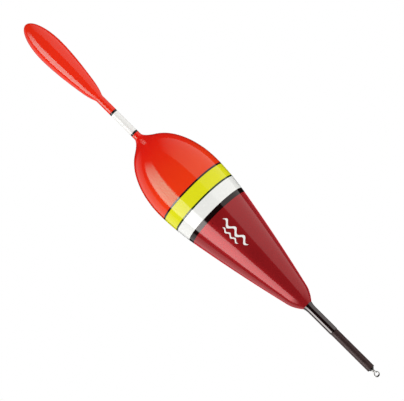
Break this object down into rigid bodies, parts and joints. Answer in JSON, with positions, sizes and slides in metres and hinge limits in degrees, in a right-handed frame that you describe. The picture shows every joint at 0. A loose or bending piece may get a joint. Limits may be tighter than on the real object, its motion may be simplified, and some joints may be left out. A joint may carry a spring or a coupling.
{
  "type": "bobber float",
  "caption": "Pear-shaped predator fishing float with colour bands, a plug-in bulb antenna, a rod stem with a soft line sleeve, and a wire line eye.",
  "frame": {"origin": "centre of the line eye at the lower end of the stem", "axes": "+Z along the float's axis from the line eye to the bulb of the antenna; the hole of the eye runs along Y"},
  "size_m": [0.0286, 0.0286, 0.1797],
  "materials": {
    "stainless_wire": "bright",
    "black_epoxy": "gloss",
    "carbon_rod": "satin",
    "soft_sleeve": "matte",
    "black_lacquer": "high gloss",
    "balsa": "raw",
    "burgundy_lacquer": "high gloss candy lacquer",
    "white_lacquer": "high gloss",
    "dark_line_lacquer": "high gloss",
    "yellow_lacquer": "high gloss fluorescent",
    "orange_lacquer": "high gloss fluorescent",
    "socket_plastic": "satin",
    "black_ring_plastic": "gloss",
    "glass_fibre": "satin",
    "white_tube_plastic": "satin",
    "bulb_plastic": "high gloss fluorescent"
  },
  "bodies": {
    "float_body": {"line_eye": "stainless_wire", "epoxy_bead": "black_epoxy", "stem_rod": "carbon_rod", "stem_collar": "black_lacquer", "balsa_core": "balsa", "burgundy_coat": "burgundy_lacquer", "black_band": "black_lacquer", "white_band": "white_lacquer", "lower_dark_line": "dark_line_lacquer", "yellow_band": "yellow_lacquer", "upper_dark_line": "dark_line_lacquer", "orange_coat": "orange_lacquer", "antenna_socket": "socket_plastic"},
    "sleeve": {"line_sleeve": "soft_sleeve"},
    "antenna": {"neck_ring": "black_ring_plastic", "antenna_rod": "glass_fibre", "antenna_tube": "white_tube_plastic", "bulb_ring": "black_ring_plastic", "antenna_bulb": "bulb_plastic"}
  },
  "joints": [
    {"name": "sleeve_slide", "type": "slide", "parent": "float_body", "child": "sleeve", "axis": [0, 0, -1], "range_m": [0, 0.0235]},
    {"name": "antenna_pull", "type": "slide", "parent": "float_body", "child": "antenna", "axis": [0, 0, 1], "range_m": [0, 0.0145]}
  ]
}
